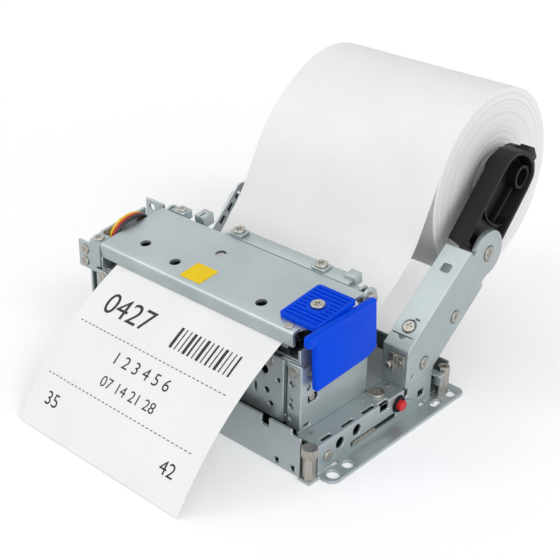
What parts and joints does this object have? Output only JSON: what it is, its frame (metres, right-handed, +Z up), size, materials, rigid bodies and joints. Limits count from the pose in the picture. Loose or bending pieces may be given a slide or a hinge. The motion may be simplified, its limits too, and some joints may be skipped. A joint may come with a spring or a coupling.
{
  "type": "thermal kiosk printer",
  "caption": "Open-frame thermal ticket printer with hinged cutter cover, blue grips, feed button and a paper roll on a swinging spindle arm.",
  "frame": {"origin": "centre of the four main flange holes, on the underside of the base", "axes": "+Z up, -Y to the front where the ticket comes out, +X to the right"},
  "size_m": [0.0944, 0.1487, 0.0729],
  "materials": {
    "galvanised_steel": "matte, bluish grey, electro-galvanised",
    "nickel": "nickel plated, satin",
    "tool_steel": "ground",
    "aluminium": "extruded, plain",
    "black_plastic": "moulded, fine texture",
    "blue_plastic": "moulded, satin",
    "red_plastic": "moulded",
    "white_plastic": "moulded",
    "yellow_film": "plain adhesive film",
    "board_green": "coated laminate",
    "rubber": "ground rubber",
    "paper": "coated thermal paper",
    "cardboard": "wound tube",
    "wire_yellow": "insulation",
    "wire_red": "insulation",
    "wire_dark": "insulation"
  },
  "bodies": {
    "base": {"base_floor": "galvanised_steel", "rear_deck": "galvanised_steel", "rail_right": "galvanised_steel", "rail_left": "galvanised_steel", "frame_right": "galvanised_steel", "frame_left": "galvanised_steel", "front_posts": "galvanised_steel", "front_panel": "galvanised_steel", "cutter_bed": "aluminium", "fixed_blade": "tool_steel", "exit_guide": "galvanised_steel", "paper_guide": "galvanised_steel", "platen_bushes": "black_plastic", "feed_motor": "aluminium", "control_board": "board_green", "board_parts": "black_plastic", "rear_socket": "black_plastic", "push_switch": "black_plastic", "standoffs": "nickel", "thumb_nuts": "nickel", "rear_clips": "galvanised_steel", "roll_arm": "galvanised_steel", "pivot_plate": "galvanised_steel", "pivot_screw": "nickel", "left_guide": "galvanised_steel", "left_bracket": "galvanised_steel", "wire_plugs": "white_plastic", "wire_yellow": "wire_yellow", "wire_red": "wire_red", "wire_dark": "wire_dark", "hinge_pins": "nickel", "base_screws": "nickel", "rivets": "nickel", "paper_web": "paper", "ticket": "paper"},
    "cover": {"cover_plate": "galvanised_steel", "rear_rail": "galvanised_steel", "rail_clamps": "galvanised_steel", "sticker": "yellow_film", "pad": "blue_plastic", "side_bracket": "galvanised_steel", "thermal_head": "black_plastic", "heat_sink": "aluminium", "blade_guides": "black_plastic", "cutter_motor": "aluminium", "cover_screws": "nickel"},
    "side_lever": {"lever": "blue_plastic"},
    "cutter_blade": {"moving_blade": "tool_steel"},
    "cutter_gear": {"cutter_pinion": "white_plastic"},
    "platen": {"platen_rubber": "rubber", "platen_shaft": "nickel"},
    "idler": {"idler_gear": "white_plastic"},
    "motor_rotor": {"motor_pinion": "white_plastic"},
    "swing_arm": {"spindle_arm": "black_plastic", "spindle_cap": "black_plastic"},
    "roll": {"paper_roll": "paper", "roll_core": "cardboard"},
    "button": {"feed_button": "red_plastic"},
    "slider": {"slider_strip": "nickel"},
    "arm_latch": {"latch": "nickel"}
  },
  "joints": [
    {"name": "cover_hinge", "type": "hinge", "parent": "base", "child": "cover", "pos_m": [0, -0.001, 0.036], "axis": [-1, 0, 0], "range_deg": [0, 50]},
    {"name": "lever_pivot", "type": "hinge", "parent": "cover", "child": "side_lever", "pos_m": [0.0375, -0.012, 0.031], "axis": [-1, 0, 0], "range_deg": [0, 8], "stiffness_Nm_per_rad": 0.02, "springref_deg": -2.86},
    {"name": "blade_slide", "type": "slide", "parent": "cover", "child": "cutter_blade", "axis": [0, -0.9916, -0.1291], "range_m": [0, 0.0035]},
    {"name": "cutter_gear_spin", "type": "hinge", "parent": "cover", "child": "cutter_gear", "pos_m": [0.009, -0.00146, 0.03421], "axis": [0, -0.1291, 0.9916], "range_deg": [-70, 5]},
    {"name": "arm_swing", "type": "hinge", "parent": "base", "child": "swing_arm", "pos_m": [0, 0.0424, 0.0347], "axis": [-1, 0, 0], "range_deg": [-6, 30], "deforming": ["paper_web"]},
    {"name": "roll_spin", "type": "hinge", "parent": "swing_arm", "child": "roll", "pos_m": [0, 0.0603, 0.0456], "axis": [1, 0, 0], "continuous": true},
    {"name": "platen_spin", "type": "hinge", "parent": "base", "child": "platen", "pos_m": [0, -0.01171, 0.02159], "axis": [1, 0, 0], "continuous": true},
    {"name": "idler_spin", "type": "hinge", "parent": "base", "child": "idler", "pos_m": [-0.0368, -0.00243, 0.01788], "axis": [1, 0, 0], "continuous": true},
    {"name": "motor_spin", "type": "hinge", "parent": "base", "child": "motor_rotor", "pos_m": [-0.0368, -0.0052, 0.012], "axis": [1, 0, 0], "continuous": true},
    {"name": "button_press", "type": "slide", "parent": "base", "child": "button", "axis": [-1, 0, 0], "range_m": [0, 0.0008], "stiffness_N_per_m": 800, "springref_m": -0.0004},
    {"name": "slider_move", "type": "slide", "parent": "base", "child": "slider", "axis": [0, 1, 0], "range_m": [0, 0.0065]},
    {"name": "latch_lift", "type": "slide", "parent": "base", "child": "arm_latch", "axis": [0, 0, 1], "range_m": [0, 0.002]}
  ],
  "couplings": [
    {"joint": "cutter_gear_spin", "follows": "blade_slide", "rad_per_m": -333.33},
    {"joint": "platen_spin", "follows": "roll_spin", "ratio": 5.46},
    {"joint": "idler_spin", "follows": "roll_spin", "ratio": -8.19},
    {"joint": "motor_spin", "follows": "roll_spin", "ratio": 13.104}
  ]
}
